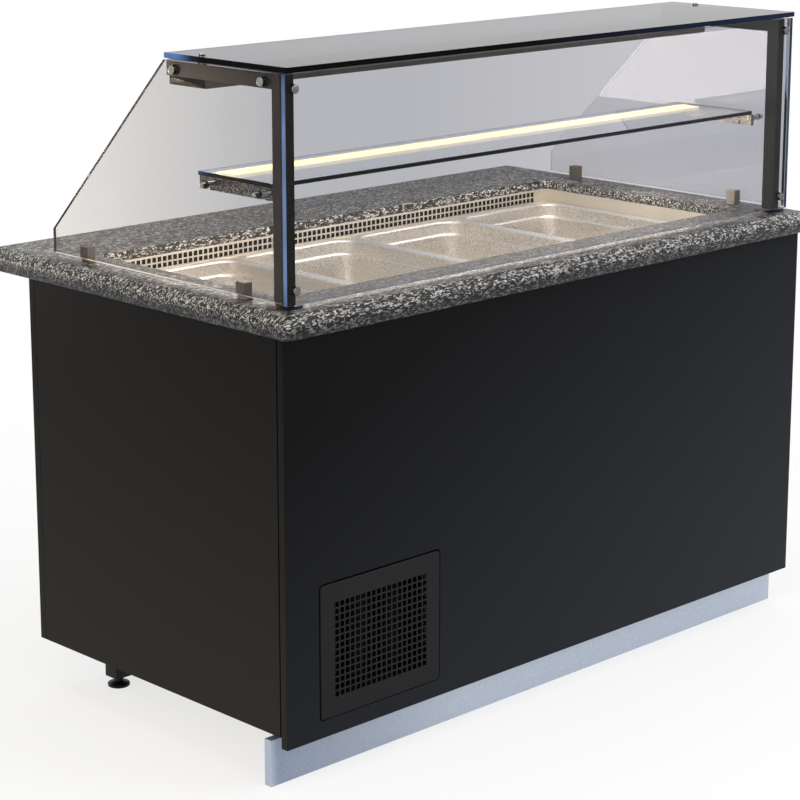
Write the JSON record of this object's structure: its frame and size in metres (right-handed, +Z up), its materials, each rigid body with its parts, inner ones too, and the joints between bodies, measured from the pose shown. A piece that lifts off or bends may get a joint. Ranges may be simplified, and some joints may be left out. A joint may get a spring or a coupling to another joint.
{
  "type": "refrigerated buffet counter",
  "caption": "Refrigerated serving counter with a stone worktop, cold well for gastronorm pans, glass sneeze guard with lit shelf, vent panel, plinth and rear cupboard.",
  "frame": {"origin": "on the floor, under the middle of the worktop", "axes": "+X along the counter to the right as the customer sees it, -Y towards the customer, +Z up"},
  "size_m": [1.552, 0.933, 1.354],
  "materials": {
    "laminate": "dark laminate faced board, satin",
    "board_core": "faced board",
    "granite": "polished speckled granite",
    "stainless": "satin stainless sheet",
    "polished_stainless": "polished stainless",
    "satin_aluminium": "brushed aluminium face",
    "galvanised_steel": "zinc coated sheet",
    "clear_glass": "toughened clear glass",
    "black_rubber": "matt rubber",
    "grey_plastic": "grey-brown plastic",
    "black_plastic": "black plastic",
    "opal_acrylic": "opal diffuser, lit from behind",
    "foam": "rigid insulation foam",
    "black_enamel": "black enamel",
    "coil_fins": "bare aluminium fins",
    "copper": "bare copper tube",
    "zinc_plate": "bright zinc plate",
    "red_plastic": "glossy lever sleeve",
    "dark_powder_coat": "fine textured dark powder coat",
    "dark_anodised": "dark bronze anodised tube"
  },
  "bodies": {
    "counter": {"front_panel": "laminate", "side_panel_left": "laminate", "side_panel_right": "laminate", "rear_corner_posts": "laminate", "base_rails": "galvanised_steel", "base_panel": "board_core", "machine_partition": "board_core", "plinth": "satin_aluminium", "foot_sockets": "black_plastic", "granite_top": "granite", "well_tank": "stainless", "tank_insulation": "foam", "air_duct_panel": "stainless", "pan_support_bars": "stainless", "support_frame_left": "dark_anodised", "support_frame_right": "dark_anodised", "post_base_flanges": "dark_anodised", "front_glass": "clear_glass", "side_glass_left": "clear_glass", "side_glass_right": "clear_glass", "glass_bolts": "polished_stainless", "glass_washers": "black_rubber", "glass_foot_blocks": "grey_plastic", "top_glass": "clear_glass", "top_glass_fixings": "polished_stainless", "shelf_glass": "clear_glass", "shelf_brackets": "polished_stainless", "light_diffusers": "opal_acrylic", "canopy_beam": "dark_anodised", "rear_cover_panel": "dark_powder_coat", "thermostat_module": "black_plastic", "switch_housings": "black_plastic", "door_hinge_pins": "zinc_plate", "cable_inlet": "black_plastic", "unit_tray": "galvanised_steel", "compressor": "black_enamel", "condenser_coil": "coil_fins", "condenser_fan_shroud": "galvanised_steel", "evaporator_coil": "coil_fins", "evaporator_fan_frame": "black_plastic", "refrigerant_pipes": "copper", "drain_fitting": "zinc_plate"},
    "vent_panel": {"vent_access_panel": "dark_powder_coat"},
    "pan_1": {"gn_pan_1": "stainless"},
    "pan_2": {"gn_pan_2": "stainless"},
    "pan_3": {"gn_pan_3": "stainless"},
    "pan_4": {"gn_pan_4": "stainless"},
    "left_door": {"door_left": "laminate"},
    "right_door": {"door_right": "laminate"},
    "evaporator_rotor": {"evaporator_fan": "black_plastic"},
    "condenser_rotor": {"condenser_fan": "black_plastic"},
    "power_rocker": {"power_switch": "red_plastic"},
    "light_rocker": {"light_switch": "black_plastic"},
    "up_key": {"thermostat_button_up": "grey_plastic"},
    "down_key": {"thermostat_button_down": "grey_plastic"},
    "drain_lever": {"drain_valve_lever": "red_plastic"},
    "foot_front_left": {"levelling_foot_front_left": "black_plastic"},
    "foot_front_right": {"levelling_foot_front_right": "black_plastic"},
    "foot_rear_left": {"levelling_foot_rear_left": "black_plastic"},
    "foot_rear_right": {"levelling_foot_rear_right": "black_plastic"}
  },
  "joints": [
    {"name": "pan_1_lift", "type": "slide", "parent": "counter", "child": "pan_1", "axis": [0, 0, 1], "range_m": [0, 0.2]},
    {"name": "pan_2_lift", "type": "slide", "parent": "counter", "child": "pan_2", "axis": [0, 0, 1], "range_m": [0, 0.2]},
    {"name": "pan_3_lift", "type": "slide", "parent": "counter", "child": "pan_3", "axis": [0, 0, 1], "range_m": [0, 0.2]},
    {"name": "pan_4_lift", "type": "slide", "parent": "counter", "child": "pan_4", "axis": [0, 0, 1], "range_m": [0, 0.2]},
    {"name": "vent_panel_pull", "type": "slide", "parent": "counter", "child": "vent_panel", "axis": [0, -1, 0], "range_m": [0, 0.06]},
    {"name": "left_door_hinge", "type": "hinge", "parent": "counter", "child": "left_door", "pos_m": [-0.32, 0.3205, 0.361], "axis": [0, 0, 1], "range_deg": [0, 100]},
    {"name": "right_door_hinge", "type": "hinge", "parent": "counter", "child": "right_door", "pos_m": [0.708, 0.3205, 0.361], "axis": [0, 0, -1], "range_deg": [0, 100]},
    {"name": "evaporator_fan_spin", "type": "hinge", "parent": "counter", "child": "evaporator_rotor", "pos_m": [0, 0.1905, 0.65], "axis": [0, 1, 0], "continuous": true},
    {"name": "condenser_fan_spin", "type": "hinge", "parent": "counter", "child": "condenser_rotor", "pos_m": [-0.5185, -0.3155, 0.265], "axis": [0, 1, 0], "continuous": true},
    {"name": "power_switch_rock", "type": "hinge", "parent": "counter", "child": "power_rocker", "pos_m": [-0.508, 0.3265, 0.745], "axis": [1, 0, 0], "range_deg": [0, 16]},
    {"name": "light_switch_rock", "type": "hinge", "parent": "counter", "child": "light_rocker", "pos_m": [-0.463, 0.3265, 0.745], "axis": [1, 0, 0], "range_deg": [0, 16]},
    {"name": "up_key_press", "type": "slide", "parent": "counter", "child": "up_key", "axis": [0, -1, 0], "range_m": [0, 0.001], "stiffness_N_per_m": 300},
    {"name": "down_key_press", "type": "slide", "parent": "counter", "child": "down_key", "axis": [0, -1, 0], "range_m": [0, 0.001], "stiffness_N_per_m": 300},
    {"name": "drain_lever_turn", "type": "hinge", "parent": "counter", "child": "drain_lever", "pos_m": [0.48, -0.025, 0.538], "axis": [0, 1, 0], "range_deg": [0, 90]},
    {"name": "foot_front_left_turn", "type": "hinge", "parent": "counter", "child": "foot_front_left", "pos_m": [-0.644, -0.3215, 0.02], "axis": [0, 0, 1], "continuous": true},
    {"name": "foot_front_right_turn", "type": "hinge", "parent": "counter", "child": "foot_front_right", "pos_m": [0.644, -0.3215, 0.02], "axis": [0, 0, 1], "continuous": true},
    {"name": "foot_rear_left_turn", "type": "hinge", "parent": "counter", "child": "foot_rear_left", "pos_m": [-0.644, 0.2225, 0.02], "axis": [0, 0, 1], "continuous": true},
    {"name": "foot_rear_right_turn", "type": "hinge", "parent": "counter", "child": "foot_rear_right", "pos_m": [0.644, 0.2225, 0.02], "axis": [0, 0, 1], "continuous": true}
  ]
}
